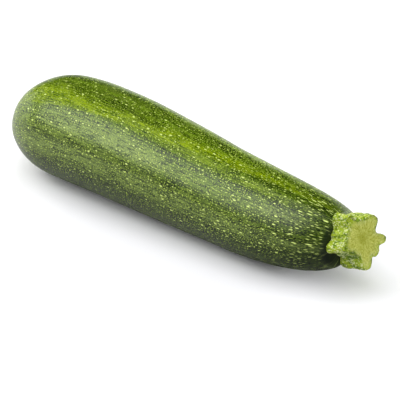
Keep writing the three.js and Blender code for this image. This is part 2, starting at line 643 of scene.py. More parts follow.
def carried(tree, name):
    """A map that the mesh carries, as a term."""
    node = add(tree, "ShaderNodeAttribute", attribute_name=name)
    return Term(node.outputs["Vector"])


def raised(height, distance):
    """A normal that shades the surface as if it stood out by distance where height is 1."""
    return result(height.tree, "ShaderNodeBump", {"Height": height, "Distance": distance, "Strength": 1.0})


print("deep green in linear light:", [round(c, 3) for c in colour(70, 98, 24)[:3]])

# %% [markdown]
# ## The skin
# A courgette's skin is a thin waxy rind. Its green is darkest between broad paler bands that run from end
# to end, it is finely mottled all over, and pale flecks of several sizes sit in it. Towards the stalk it
# darkens, and the flower's scar is cork. Some light and shade is painted into the colour as well: the milky
# bands are partly painted sheen, the belly is darker partly as painted shade, and a dull, near-black collar,
# partly the neck's own dark green and partly painted shade, rings the stalk's foot. A painted picture could
# give all that, but it would blur close up and not fit another fruit, so it is mixed from the shared effects,
# laid out on the `skin` map. The bands come first: where each one runs around the fruit, and how it drifts
# along it.

# %% Stripes of the skin
UPPER_DARK = colour(14, 33, 1)
UPPER_LIGHT = colour(104, 134, 20)
FRONT_DARK = colour(10, 24, 3)
FRONT_LIGHT = colour(108, 130, 50)
# the belly's greens are darker than the sides', partly as painted shade
BELLY_DARK_AND_SHADE = colour(14, 22, 4)
BELLY_LIGHT_AND_SHADE = colour(70, 90, 32)
BRIGHT_DARK = colour(50, 80, 1)
BRIGHT_LIGHT = colour(148, 172, 5)
# the milky greens are partly greyer bands of the skin and partly painted sheen of the wax
MILKY_SHEEN_DARK = colour(48, 73, 17)
MILKY_SHEEN_LIGHT = colour(160, 181, 98)
LINE_GREEN = colour(22, 40, 4)
# the neck's own dark green, which is also laid on as painted shade in the collar around the stalk's foot
NECK_GREEN_AND_COLLAR_SHADE = colour(12, 26, 5)
CROWN = 100 * DEGREE
FRONT = 180 * DEGREE
BRIGHT_BANDS = [
    {"angle": 136, "drift": -47, "spread": 11, "strength": 0.8, "edge": 2.5},
    {"angle": 135, "drift": -47, "spread": 7, "strength": 0.6, "start": 0.4, "end": 0.8, "edge": 3},
    {"angle": 114, "drift": 0, "spread": 10, "strength": 0.6, "start": -0.1, "end": 0.24},
    {"angle": 118, "drift": 0, "spread": 5, "strength": 0.5, "start": 0.1, "end": 0.95},
    {"angle": 40, "drift": 22, "spread": 11, "strength": 0.75},
    {"angle": 336, "drift": 8, "spread": 10, "strength": 0.5},
    {"angle": 262, "drift": 12, "spread": 11, "strength": 0.4},
]
MILKY_SHEEN_EDGE = {"angle": 153, "drift": -16, "spread": 9}
MILKY_SHEEN_BANDS = [
    {**MILKY_SHEEN_EDGE, "strength": 0.55, "start": -0.2, "end": 0.12},
    {**MILKY_SHEEN_EDGE, "strength": 0.75, "start": 0.16, "end": 0.54},
    {**MILKY_SHEEN_EDGE, "strength": 0.25, "start": 0.58, "end": 0.77},
    {**MILKY_SHEEN_EDGE, "strength": 0.75, "start": 0.78, "end": 1.2},
    {"angle": 139, "drift": -12, "spread": 6, "strength": 0.34, "start": -0.2, "end": 0.45},
    {"angle": 139, "drift": 0, "spread": 4, "strength": 0.8, "start": 0.82, "end": 1.0},
    {"angle": 116, "drift": 0, "spread": 4, "strength": 0.5, "start": 0.76, "end": 1.0},
    {"angle": 176, "drift": 0, "spread": 9, "strength": 0.35, "start": 0.1, "end": 1.2},
    {"angle": 186, "drift": -40, "spread": 16, "strength": 0.3, "start": -0.2, "end": 0.14},
    {"angle": 14, "drift": 6, "spread": 7, "strength": 0.45},
    {"angle": 64, "drift": 8, "spread": 6, "strength": 0.3},
    {"angle": 300, "drift": 4, "spread": 8, "strength": 0.3},
    {"angle": 228, "drift": 6, "spread": 8, "strength": 0.3},
]
DARK_LINES = [
    {"angle": 98, "drift": 14, "spread": 5, "strength": 0.45, "start": 0.12, "end": 0.42},
    {"angle": 130, "drift": -4, "spread": 3, "strength": 0.45, "start": 0.46, "end": 1.0},
    {"angle": 110, "drift": -6, "spread": 4, "strength": 0.5, "start": 0.64, "end": 1.0},
    {"angle": 169, "drift": -21, "spread": 4.5, "strength": 0.36, "start": 0.14, "end": 1.0},
    {"angle": 192, "drift": -4, "spread": 6, "strength": 0.45, "start": 0.3, "end": 1.0},
    {"angle": 28, "drift": 10, "spread": 5, "strength": 0.6},
    {"angle": 80, "drift": 0, "spread": 6, "strength": 0.5},
    {"angle": 318, "drift": 4, "spread": 6, "strength": 0.5},
    {"angle": 246, "drift": 4, "spread": 6, "strength": 0.4},
]
print("stripes:", len(BRIGHT_BANDS), "bright,", len(MILKY_SHEEN_BANDS), "milky,", len(DARK_LINES), "dark")

# %% Ground colour of the skin
STRIPE_FADE = 0.08
EDGE_SOFTNESS = 2 * DEGREE
SIDE_EDGE = (0.75, 0.35)       # how far up the skin faces where the top's green turns into the sides'
BELLY_SHADE_EDGE = (0.2, -0.2)       # and where the sides' green turns into the belly's, which is darker partly as painted shade
BAND_END = (0.7, 0.95)         # how far along the fruit the pale bands grow weaker
BAND_LOSS = 0.3


def stripes(angle, along, table):
    """How strong the stripes of one kind are at a place on the skin."""
    total = along * 0
    for stripe in table:
        middle = along * (stripe["drift"] * DEGREE) + stripe["angle"] * DEGREE
        strength = bump_around(angle, middle, stripe["spread"] * DEGREE) * stripe["strength"]
        if "edge" in stripe:
            past = angle - middle - stripe["edge"] * DEGREE
            strength = strength * smooth(past, EDGE_SOFTNESS, 0.0)
        if "start" in stripe:
            strength = strength * smooth(along, stripe["start"] - STRIPE_FADE, stripe["start"] + STRIPE_FADE)
            strength = strength * smooth(along, stripe["end"] + STRIPE_FADE, stripe["end"] - STRIPE_FADE)
        total = total + strength
    return total.at_most(1)


def facing(angle, direction):
    """1 where the skin faces a direction around the fruit, down to -1 where it faces away."""
    return (angle - direction).math("COSINE")


def skin_ground(light, angle, along):
    """The green under the flecks: yellower on top, greyer at the sides, darker below partly as painted shade,
    then striped.
    """
    upward = facing(angle, CROWN)
    sides = smooth(upward, *SIDE_EDGE)
    belly_shade = smooth(upward, *BELLY_SHADE_EDGE)
    ground = mix(sides, mix(light, UPPER_DARK, UPPER_LIGHT), mix(light, FRONT_DARK, FRONT_LIGHT))
    ground = mix(belly_shade, ground, mix(light, BELLY_DARK_AND_SHADE, BELLY_LIGHT_AND_SHADE))
    fade = 1 - smooth(along, *BAND_END) * BAND_LOSS
    # Milky stripes: partly the skin's greyer bands, partly painted sheen.
    ground = mix(stripes(angle, along, MILKY_SHEEN_BANDS) * fade, ground, mix(light, MILKY_SHEEN_DARK, MILKY_SHEEN_LIGHT))
    ground = mix(stripes(angle, along, BRIGHT_BANDS) * fade, ground, mix(light, BRIGHT_DARK, BRIGHT_LIGHT))
    return mix(stripes(angle, along, DARK_LINES) * (0.9 - light * 0.2), ground, LINE_GREEN)


print("the skin's top faces", round(CROWN / DEGREE), "degrees and its front", round(FRONT / DEGREE))

# %% Flecks of the skin
GAP_GREEN = colour(28, 46, 6)
FLECK_PALE = colour(226, 246, 136)
FLECK_GREEN = colour(176, 200, 74)
FLECK_KINDS = [
    {"rows": 136.0, "spacing": 1.0 * MM, "sizes": (0.2 * MM, 0.12 * MM), "stretches": (1.3, 3.0),
     "bare": (0.1, 0.1), "edge": 0.4, "seed": 1.0},
    {"rows": 100.0, "spacing": 1.8 * MM, "sizes": (0.24 * MM, 0.15 * MM), "stretches": (1.5, 4.0),
     "bare": (0.25, 0.62), "edge": 0.35, "seed": 5.0},
    {"rows": 70.0, "spacing": 3.2 * MM, "sizes": (0.32 * MM, 0.2 * MM), "stretches": (2.0, 5.0),
     "bare": (0.68, 0.66), "edge": 0.3, "seed": 7.0},
]
GAP_SHARE = 0.4


def skin_flecks(tree, place, stalkward, drawn):
    """The masks of the tiny, small and large flecks, and the dark gap around them all."""
    masks, gaps = [], []
    for kind in FLECK_KINDS:
        mask, gap = effects(
            tree, flecks, **place, rows=kind["rows"], spacing=kind["spacing"],
            size=between(stalkward, *kind["sizes"]), stretch=between(drawn, *kind["stretches"]),
            bare=between(drawn, *kind["bare"]), edge=kind["edge"], seed=kind["seed"],
        )
        masks.append(mask)
        gaps.append(gap * GAP_SHARE)
    return masks, add_up(gaps).at_most(1)


print("kinds of fleck:", len(FLECK_KINDS), "the widest in mm:", FLECK_KINDS[-1]["sizes"][0] / MM)

# %% Cork of the flower's scar
CORK_TAN = colour(172, 164, 104)
CORK_DARK = colour(112, 98, 54)
CORK_DISH = (1.8 * MM, 0.6 * MM)
CORK_RING = (3.2 * MM, 3.9 * MM)


def cork_colour(fine, radius, ragged):
    """Mottled tan cork, darker in the dish and on a ragged ring around it."""
    cork = mix(fine * 0.6, CORK_TAN, CORK_DARK)
    ring = smooth(ragged, *CORK_RING)
    return mix(smooth(radius, *CORK_DISH) * 0.7 + ring * 0.6, cork, CORK_DARK)


print("cork ring from", CORK_RING[0] / MM, "mm")

# %% [markdown]
# The material itself reads the maps, works out where on the fruit it is, and then lays one thing over the
# next: green, dark gaps, flecks from the smallest up, cork, and the collar's painted shade. On the underside
# painted shade dims the flecks. The flecks and the fine mottling also stand out a little, so the sheen of the
# wax breaks up over them.

# %% Skin material
FINE = {"size": 0.42 * MM, "stretch": 2.5, "middle": 0.5, "softness": 0.04}
FINE_LINES = {"size": 0.55 * MM, "stretch": 14.0, "softness": 0.05, "seed": 9.0}
BROAD = {"size": 7 * MM, "detail": 3.0, "middle": 0.5, "softness": 0.25, "seed": 4.0}
WANDER = {"size": 1.6 * MM, "detail": 1.0, "middle": 0.5, "softness": 0.5, "seed": 2.0}
DARKENING = (0.66, 0.97)           # how far along the fruit the green deepens and the flecks get finer
DRAWING = (0.8, 0.94)              # and where the flecks are drawn out into streaks
COLLAR_SHADE_SPAN = (0.955, 0.972)            # and where the collar's painted shade starts, a little earlier in front
COLLAR_SHADE_LEAN = 0.012
DULL = (0.95, 0.965)               # and where the wax gives way to it
FLOWER_END = (20 * MM, 10 * MM)    # how far along the fruit the flower's end gives way to the rest
BARE_TIP = (11 * MM, 5 * MM)       # how far out from the middle line the flecks thin out around the scar
CORK_EDGE = (4.8 * MM, 3.6 * MM)
RAGGEDNESS = 1.6 * MM
SHADE_BELOW = (0.1, -0.5)                # how far up the skin faces where painted shade dims the flecks underneath
IN_FRONT = (0.4, 0.85)
LIGHT_SHARES = (0.44, 0.43, 0.1)   # of the fine mottling, the lines and the broad mottling in the light
SHADE_BELOW_STRENGTH = 0.45
GAP_STRENGTH = 0.6
SMALL_STRENGTH = 0.85
CORK_STRENGTH = 0.75
COLLAR_SHADE_STRENGTH = 0.9
WAX_ROUGHNESS = 0.25
WAX_UNEVENNESS = 0.04
COLLAR_ROUGHNESS = 0.5             # on top of the wax's, as the cork's is
CORK_ROUGHNESS = 0.4
WAX_IOR = 1.5
BAND_WANDER = 2.5 * DEGREE
EDGE_WANDER = 2 * DEGREE
ROW_WANDER = 0.004                 # turns
SKIN_RELIEF = 0.02 * MM


def skin_material():
    """The speckled, striped, waxy green rind."""
    material, tree, shader = new_material("courgette skin")
    skin = carried(tree, "skin")
    x, across, up = components(skin)
    distance, radius, _ = components(carried(tree, "place"))
    turn = across.math("ARCTAN2", up) / (2 * math.pi)
    along = distance / FRUIT["Fruit length"]
    stalkward = smooth(along, *DARKENING)
    drawn = smooth(along, *DRAWING)

    fine = effect(tree, streaks, vector=skin, **FINE)
    lines = effect(tree, streaks, vector=skin, **FINE_LINES)
    broad = effect(tree, mottling, vector=skin, **BROAD)
    wander = effect(tree, mottling, vector=skin, **WANDER)
    angle = (0.25 - turn) * (2 * math.pi) + (broad - 0.5) * BAND_WANDER + (wander - 0.5) * EDGE_WANDER
    light = add_up([pattern * share for pattern, share in zip((fine, lines, broad), LIGHT_SHARES)])

    flower_end = smooth(distance, *FLOWER_END)
    tip = smooth(radius, *BARE_TIP) * flower_end
    ragged = radius + (broad + wander - 1) * RAGGEDNESS
    cork = smooth(ragged, *CORK_EDGE) * flower_end
    shade_below = smooth(facing(angle, CROWN), *SHADE_BELOW)
    front = smooth(facing(angle, FRONT), *IN_FRONT)
    place = {"along": x, "turn": turn + (broad - 0.5) * ROW_WANDER, "radius": radius}
    masks, gap = skin_flecks(tree, place, stalkward, drawn)
    # Painted shade: the flecks grow fainter on the underside.
    shown = (1 - tip) * (1 - shade_below * SHADE_BELOW_STRENGTH)
    tiny, small, large = (mask * shown for mask in masks)

    shade = (stalkward * (1 - light * 0.6) * 0.8).at_least(drawn * (1 - light * 0.5) * 0.85)
    ground = mix(shade * between(front, 0.74, 1.0), skin_ground(light, angle, along), NECK_GREEN_AND_COLLAR_SHADE)
    ground = mix(gap * (1 - tip) * GAP_STRENGTH, ground, GAP_GREEN)
    spotted = mix(tiny * between(drawn, 0.85, 0.3), ground, FLECK_GREEN)
    small_colour = mix(between(stalkward, 0.35, 1.0), FLECK_GREEN, FLECK_PALE)
    spotted = mix(small * SMALL_STRENGTH, spotted, small_colour)
    spotted = mix(large * between(stalkward, 0.8, 0.95), spotted, FLECK_PALE)
    spotted = mix(cork * CORK_STRENGTH, spotted, cork_colour(fine, radius, ragged))
    # Painted shade: a near-black collar on the skin around the stalk's foot, over the neck's own dark green.
    collar_shade = smooth(along + front * COLLAR_SHADE_LEAN, *COLLAR_SHADE_SPAN)
    plug(shader.inputs["Base Color"], mix(collar_shade * COLLAR_SHADE_STRENGTH, spotted, NECK_GREEN_AND_COLLAR_SHADE))

    roughness = WAX_ROUGHNESS + broad * WAX_UNEVENNESS + smooth(along, *DULL) * COLLAR_ROUGHNESS
    plug(shader.inputs["Roughness"], roughness + cork * CORK_ROUGHNESS)
    plug(shader.inputs["Normal"], raised(large + small * 0.6 + tiny * 0.4 + fine * 0.2, SKIN_RELIEF))
    shader.inputs["IOR"].default_value = WAX_IOR
    return material


skin_finish = skin_material()
print("skin material has", len(skin_finish.node_tree.nodes), "nodes")

# %% [markdown]
# ## Growing the fruit
# The tree is run once and its result kept as a plain mesh. It is then set on the frame: its flower end,
# its middle line and its underside go where the packed fruit has them.

# %% The fruit piece


def add_piece(name, mesh, slot, *nodes):
    """An object for a finished mesh, riding on the one body, in place of the packed nodes it stands for."""
    piece = bpy.data.objects.new(name, mesh)
    bpy.context.collection.objects.link(piece)
    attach(piece, BODY)
    for node in nodes:
        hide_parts(node)
    return piece


def mesh_box(mesh):
    """The lowest and highest corner of a mesh."""
    corners = list(zip(*(vertex.co for vertex in mesh.vertices)))
    return Vector(map(min, corners)), Vector(map(max, corners))


def onto_node(mesh, node):
    """How far a mesh has to move for its flower end, middle line and underside to meet the node's."""
    low, high = mesh_box(mesh)
    node_low, node_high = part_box(node)
    return Vector((node_low.x - low.x, (node_low.y + node_high.y - low.y - high.y) / 2, node_low.z - low.z))


fruit_mesh = grow(fruit_maker, "fruit_skin", {**FRUIT, "Skin": skin_finish})
to_frame = onto_node(fruit_mesh, "fruit")
fruit_mesh.transform(Matrix.Translation(to_frame))
fruit = add_piece("fruit_skin", fruit_mesh, "skin", "fruit")
print(fruit.name, len(fruit_mesh.polygons), "faces,", round(volume_ml(fruit_mesh), 1), "ml, moved by",
      tuple(round(c / MM, 2) for c in to_frame))

# %% [markdown]
# ## The stalk
# The stub of stalk that stays on a picked courgette is a bundle of ridges: five strong ones, which run on as
# the fruit's ribs, and three weaker ones between them. It sits in the fruit with round toes, and a knife
# has left it a slanted face. It could be modelled by hand from a star outline, but each ring of it is the
# same rule, a core plus ridges, so the same kind of grid is bent again. The sizes are in the fruit's own
# measure, from the flower's tip.

# %% Sizes of the stalk
STALK = {
    "Base": Vector((175.3, 0.83, 21.9)) * MM,
    "Run": Vector((10.8, -1.15, 3.75)) * MM,
    "Pitch": 16 * DEGREE,
    "Yaw": -9.5 * DEGREE,
    "Core at base": 7.7 * MM,
    "Core at cut": 6.75 * MM,
    "Groove depth": 0.35 * MM,
    "Dent depth": 0.45 * MM,
    "Rim rounding": 0.45 * MM,
    "Fibre height": 0.22 * MM,
    "Cut hollow": 0.5 * MM,
    "Shoulder start": 6.7 * MM,
    "Shoulder end": 12.0 * MM,
    "Shoulder drop": 1.6 * MM,
    "Seed": 5.0,
    "Stations": 200,
    "Sides": 361,
}
RIDGES = [
    {"angle": 41, "base": 3.4, "cut": 3.6, "spread": 21},
    {"angle": 78, "base": 2.4, "cut": 0.8, "spread": 19, "fall": 2.0},
    {"angle": 119, "base": 7.8, "cut": 5.4, "spread": 14},
    {"angle": 148, "base": 2.2, "cut": 2.0, "spread": 14},
    {"angle": 184, "base": 4.3, "cut": 3.5, "spread": 18},
    {"angle": 269, "base": 5.5, "cut": 6.0, "spread": 16},
    {"angle": 306, "base": 3.0, "cut": 3.5, "spread": 18},
    {"angle": 341, "base": 4.0, "cut": 4.9, "spread": 14},
]
RIDGE_FALL = 0.7           # the power by which a ridge goes from its base height to its height at the cut
RIDGE_POWER = 3
TOE_SHARE = 0.25
TOE_REACH = 0.32
TOE_POWER = 2.2
SUNK_SHARE = -0.35         # how deep the foot is sunk in the fruit, as a share of the stalk's run
FOOT_ROWS = 0.04           # the share of the grid that closes the foot
RIM_ROWS = 0.62            # and the share at which the sides end and the cut face starts
RIM_STEP = 0.001
print("stalk ridges:", [ridge["angle"] for ridge in RIDGES])

# %% Ridges and moves of the stalk


def turned(value, axis, angle):
    """A vector turned around an axis through the origin."""
    return result(value.tree, "ShaderNodeVectorRotate", {"Vector": value, "Angle": angle},
                  rotation_type=axis + "_AXIS")


def moved(value, offset, times):
    """A vector moved by an offset taken a number of times."""
    return result(value.tree, "ShaderNodeVectorMath", {0: offset, 1: times, 2: value},
                  operation="MULTIPLY_ADD")


def ridge_reach(angle, share, ridge):
    """How far one ridge of the stalk stands out, less towards its round toe."""
    aside = (angle - ridge["angle"] * DEGREE).math("COSINE").math("ARCCOSINE")
    inside = ((TOE_SHARE - share) / TOE_REACH).at_least(0).at_most(1)
    toe = (1 - inside ** TOE_POWER) ** (1 / TOE_POWER)
    climb = share.at_least(0) ** ridge.get("fall", RIDGE_FALL)
    reach = between(climb, ridge["base"] * MM, ridge["cut"] * MM) * toe
    return reach * ((aside / (ridge["spread"] * DEGREE)) ** RIDGE_POWER * -1).math("EXPONENT")


print("stalk helpers:", [helper.__name__ for helper in (turned, moved, ridge_reach)])

# %% [markdown]
# The grid runs from the sunk foot up the sides, over the rim and in to the middle of the cut face. There the
# rim is rounded, the fibres of the stalk stand out a little, and the middle is slightly hollow. On one side
# the knife has cut lower, so the face drops to a shoulder on which the rind still shows.

# %% Sides and cut of the stalk
GROOVE_RUN = 0.7               # how far the stalk's run goes through the noise of its grooves
GROOVE_SIZE = 0.16
DENT_RUN = 2.2
DENT_SIZE = 0.33
FIBRE_RUN = 2
FIBRE_SIZE = 0.12
FIBRE_START = 0.06             # how much of the way in from the rim the fibres take to rise
CALM_MIDDLE = 0.025            # and how much of it they take to fade in the middle, so that the face closes
RIM_POWER = 14


def stalk_sides(size, angle, share):
    """How far the ridges stand out from the core of the stalk, and how far its whole side does."""
    side, rise = angle.math("COSINE"), angle.math("SINE")
    core = between(share.at_least(0), size["Core at base"], size["Core at cut"])
    ridges = add_up([ridge_reach(angle, share, ridge) for ridge in RIDGES])
    grooves = noise(vector(share * GROOVE_RUN, side, rise), size["Seed"], GROOVE_SIZE, 1.0)
    dents = noise(vector(share * DENT_RUN, side, rise), size["Seed"] + 3, DENT_SIZE, 1.0)
    return ridges, core + ridges + grooves * size["Groove depth"] + dents * size["Dent depth"]


def cut_relief(size, inward, fibres):
    """How far the cut face stands out: a rounded rim, fibres, and a hollow towards the middle."""
    middling = 1 - inward
    rim = middling ** RIM_POWER * -1 * size["Rim rounding"]
    calm = smooth(inward, 0.0, FIBRE_START) * (middling / CALM_MIDDLE).at_most(1)
    fuzz = fibres * size["Fibre height"] * calm * between(middling, 0.4, 1.0)
    hollow = (1 - middling ** 2) * size["Cut hollow"] * -1
    return rim + fuzz + hollow


print("fibres start", FIBRE_START, "of the way in from the rim")

# %% The stalk's tree
SHOULDER_ANGLE = 124 * DEGREE
SHOULDER_SIDE = (0.1, 0.45)
RIND_EDGE = 2.4 * MM           # how wide the shoulder's border is, over which the face gives way to rind
RIND_WANDER = 0.8 * MM
RIDGE_FULL = 6 * MM            # a ridge of this height is marked 1


def stalk_tree():
    """A geometry tree that bends a grid into the stalk: a foot, ridged sides, a rim and a cut face."""
    tree, size, end = new_group(
        "Courgette stalk", "GeometryNodeTree",
        {**STALK, "Rind": bpy.types.Material}, {"Stalk": bpy.types.Mesh},
    )
    rows, around = grid_shares(tree)
    angle = around * (2 * math.pi)
    side, rise = angle.math("COSINE"), angle.math("SINE")
    foot = (rows / FOOT_ROWS).at_most(1)
    climb = ((rows - FOOT_ROWS) / (RIM_ROWS - FOOT_ROWS)).at_least(0).at_most(1)
    inward = ((rows - RIM_ROWS) / (1 - RIM_ROWS)).at_least(0)
    on_cut = smooth(rows, RIM_ROWS - RIM_STEP, RIM_ROWS)
    share = between(climb, SUNK_SHARE, 1.0)
    ridges, reach = stalk_sides(size, angle, share)
    radius = reach * foot * (1 - inward)

    fibres = noise(vector((1 - inward) * FIBRE_RUN, side, rise), size["Seed"] + 7, FIBRE_SIZE, 2.0)
    leftward = smooth((angle - SHOULDER_ANGLE).math("COSINE"), *SHOULDER_SIDE)
    shoulder = smooth(radius, size["Shoulder start"], size["Shoulder end"]) * leftward
    lift = (cut_relief(size, inward, fibres) - shoulder * size["Shoulder drop"]) * on_cut
    border = radius + fibres * RIND_WANDER
    rindward = smooth(border, size["Shoulder start"], size["Shoulder start"] + RIND_EDGE) * leftward

    flat = vector(lift, radius * side, radius * rise)
    slanted = turned(turned(flat, "Y", size["Pitch"] * share * -1), "Z", size["Yaw"] * share)
    point = moved(moved(slanted, size["Base"], (1, 1, 1)), size["Run"], vector(share, share, share))
    maps = {
        "stalk": vector(share * STALK["Run"].x, radius * side, radius * rise),
        "mark": vector(on_cut * (1 - rindward), ridges / RIDGE_FULL, inward),
    }
    stub = bent_grid(tree, size["Stations"], size["Sides"], point, maps)
    plug(end.inputs["Stalk"], dressed(tree, stub, size["Rind"]))
    return tree


stalk_maker = stalk_tree()
print("stalk tree has", len(stalk_maker.nodes), "nodes")

# %% [markdown]
# ## The stalk's finish
# The rind of the stalk is a brighter, yellower green than the fruit, paler on the ridges, dark in the
# furrows, and freckled with short dashes and whitish dots where stiff hairs grew. The cut face is a matte
# olive, with the fibres running out from the middle and a tan tint where its edge has dried. Its rim is worn,
# so the rind shows there in places. As with the skin, one shared effect is laid over the next, and the maps
# on the mesh say which part is the cut and which is a ridge.

# %% Colour of the cut face
CUT_OLIVE = colour(144, 152, 40)
CUT_PALE = colour(200, 204, 106)
CUT_MIDDLE = colour(148, 154, 46)
CUT_EDGE = colour(204, 208, 128)
CUT_DRY = colour(186, 176, 106)
CUT_FIBRES = {"size": 0.07, "detail": 2.0, "middle": 0.5, "softness": 0.16, "seed": 3.0}
CUT_GRAIN = {"size": 0.7 * MM, "detail": 2.0, "middle": 0.52, "softness": 0.16}
CUT_DRYNESS = {"size": 6 * MM, "detail": 1.0, "middle": 0.56, "softness": 0.1, "seed": 6.0}
SPOKE_SCALE = 60               # how far the pattern of fibres moves on per metre of the way out
SMALLEST_REACH = 0.1 * MM
CUT_MIDDLE_EDGE = (3.2 * MM, 1.0 * MM)


def cut_colour(tree, stalk, inward):
    """The colour of the cut face: pale fibres running outwards, yellower in the middle, dry at the rim."""
    _, across, up = components(stalk)
    reach = (across * across + up * up).math("SQRT").at_least(SMALLEST_REACH)
    spokes = vector(reach * SPOKE_SCALE, across / reach, up / reach)
    fibres = effect(tree, mottling, vector=spokes, **CUT_FIBRES)
    grain = effect(tree, mottling, vector=stalk, **CUT_GRAIN)
    dry = effect(tree, mottling, vector=stalk, **CUT_DRYNESS)
    face = mix(fibres * 0.55 + grain * 0.45, CUT_OLIVE, CUT_PALE)
    face = mix(smooth(reach, *CUT_MIDDLE_EDGE) * 0.7, face, CUT_MIDDLE)
    face = mix(smooth(inward, 0.4, 0.0) * between(grain, 0.3, 0.8), face, CUT_EDGE)
    return mix(smooth(inward, 0.12, 0.0) * 0.6 * dry + smooth(inward, 0.02, 0.0) * 0.3, face, CUT_DRY)


print("pale fibres in linear light:", [round(c, 3) for c in CUT_PALE[:3]])

# %% Stalk material
FURROW_GREEN = colour(84, 118, 6)
RIDGE_GREEN = colour(160, 182, 34)
STREAK_GREEN = colour(190, 208, 70)
DASH_GREEN = colour(66, 104, 4)
HAIR_SPOT = colour(236, 240, 184)
RIND_GRAIN = {"size": 1.1 * MM, "detail": 2.0, "middle": 0.5, "softness": 0.2}
RIND_LINES = {"size": 0.9 * MM, "stretch": 4.0, "middle": 0.54, "softness": 0.1}
RIND_DASHES = {"size": 1.1 * MM, "stretch": 2.6, "middle": 0.54, "softness": 0.06, "seed": 15.0}
RIND_SPOTS = {"size": 0.75 * MM, "stretch": 2.0, "middle": 0.58, "softness": 0.05, "seed": 8.0}
RIDGE_EDGE = (0.0, 0.35)
WORN_RIM = (0.3, 0.0)
RIND_ROUGHNESS = 0.42
RIND_UNEVENNESS = 0.1
CUT_ROUGHNESS = 0.8
RIND_RELIEF = 0.08 * MM
RIND_IOR = 1.38


def stalk_material():
    """The ridged lime-green rind of the stalk and its cut face."""
    material, tree, shader = new_material("courgette stalk")
    stalk = carried(tree, "stalk")
    cut, ridge, inward = components(carried(tree, "mark"))
    grain = effect(tree, mottling, vector=stalk, **RIND_GRAIN)
    lines = effect(tree, streaks, vector=stalk, **RIND_LINES)
    dashes = effect(tree, streaks, vector=stalk, **RIND_DASHES)
    spots = effect(tree, streaks, vector=stalk, **RIND_SPOTS)

    rind = mix(smooth(ridge, *RIDGE_EDGE) * 0.7 + grain * 0.3, FURROW_GREEN, RIDGE_GREEN)
    rind = mix(lines * 0.6, rind, STREAK_GREEN)
    rind = mix(dashes * 0.8, rind, DASH_GREEN)
    rind = mix(spots * 0.6, rind, HAIR_SPOT)
    worn = smooth(inward, *WORN_RIM) * between(grain, 0.35, 0.9)
    plug(shader.inputs["Base Color"], mix(cut * (1 - worn), rind, cut_colour(tree, stalk, inward)))
    plug(shader.inputs["Roughness"], between(cut, RIND_ROUGHNESS + grain * RIND_UNEVENNESS, CUT_ROUGHNESS))
    plug(shader.inputs["Normal"], raised(lines * 0.6 + grain * 0.4, RIND_RELIEF))
    shader.inputs["IOR"].default_value = RIND_IOR
    return material


stalk_finish = stalk_material()
print("stalk material has", len(stalk_finish.node_tree.nodes), "nodes")

# %% The stalk piece
stalk_mesh = grow(stalk_maker, "stalk", {**STALK, "Rind": stalk_finish})
stalk_mesh.transform(Matrix.Translation(to_frame))
stalk = add_piece("stalk", stalk_mesh, "stalk", "stem")
stalk_box = mesh_box(stalk_mesh)
print(stalk.name, len(stalk_mesh.polygons), "faces,", round(volume_ml(stalk_mesh), 2), "ml, ends at",
      tuple(round(c / MM, 2) for c in stalk_box[1]), "and the packed one at",
      tuple(round(c / MM, 2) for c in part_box("stem")[1]))

# %% [markdown]
# ## Hair spots on the stalk
# Each whitish dot on the stalk is the low blister that a stiff hair grew on. Placing hundreds by hand would
# be dull and painting them would leave the stalk smooth, so Geometry Nodes scatter small flattened balls
# over the sides, more on the ridges than in the furrows, and leave the cut face and the base bare.

# %% The blisters' tree
BLISTERS = {
    "Radius": 0.3 * MM,
    "Spacing": 0.85 * MM,
    "Per square metre": 0.6e6,
    "Flatness": 0.5,
    "Seed": 11,
}
SMALLEST = 0.55                   # the size of the smallest blister, and of the largest, in usual ones
LARGEST = 1.25
CUT_TRACE = 0.01                  # this much of the cut's mark is enough to keep a place bare
CLEAR_OF_FRUIT = (0.3 * MM, 0.9 * MM)
FURROW_SHARE = 0.35               # how many blisters a furrow has for each one on a ridge
SEGMENTS = 8
RINGS = 5


def kept(tree, name):
    """A vector map that the geometry carries, as a term."""
    return result(tree, "GeometryNodeInputNamedAttribute", {"Name": name}, data_type="FLOAT_VECTOR")


def blister_tree():
    """A geometry tree that scatters flattened balls over the sides of the stalk it is given."""
    tree, size, end = new_group(
        "Stalk blisters", "GeometryNodeTree",
        {"Stalk": bpy.types.Mesh, **BLISTERS, "Spot": bpy.types.Material}, {"Blisters": bpy.types.Mesh},
    )
    cut, ridge, _ = components(kept(tree, "mark"))
    along, _, _ = components(kept(tree, "stalk"))
    on_side = (1 - cut / CUT_TRACE).at_least(0) * smooth(along, *CLEAR_OF_FRUIT)
    crowding = between(smooth(ridge, 0.0, 0.5), FURROW_SHARE, 1.0)
    scatter = add(tree, "GeometryNodeDistributePointsOnFaces", {
        "Mesh": size["Stalk"], "Distance Min": size["Spacing"], "Density Max": size["Per square metre"],
        "Density Factor": on_side * crowding, "Seed": size["Seed"],
    }, distribute_method="POISSON")
    ball = result(tree, "GeometryNodeMeshUVSphere", {
        "Segments": SEGMENTS, "Rings": RINGS, "Radius": size["Radius"],
    })
    # The node has sockets for each kind of number: 2 and 3 going in and 1 coming out are for plain ones.
    dice = add(tree, "FunctionNodeRandomValue", {2: SMALLEST, 3: LARGEST, "Seed": size["Seed"]})
    luck = Term(dice.outputs[1])
    balls = result(tree, "GeometryNodeInstanceOnPoints", {
        "Points": Term(scatter.outputs["Points"]), "Instance": ball,
        "Rotation": Term(scatter.outputs["Rotation"]), "Scale": vector(luck, luck, luck * size["Flatness"]),
    })
    soft = result(tree, "GeometryNodeSetShadeSmooth", {"Geometry": balls})
    plug(end.inputs["Blisters"], dressed(tree, soft, size["Spot"]))
    return tree


blister_maker = blister_tree()
print("blister tree has", len(blister_maker.nodes), "nodes")

# %% The blister piece
SPOT_GRAIN = {"size": 0.4 * MM, "detail": 1.0, "middle": 0.5, "softness": 0.3}


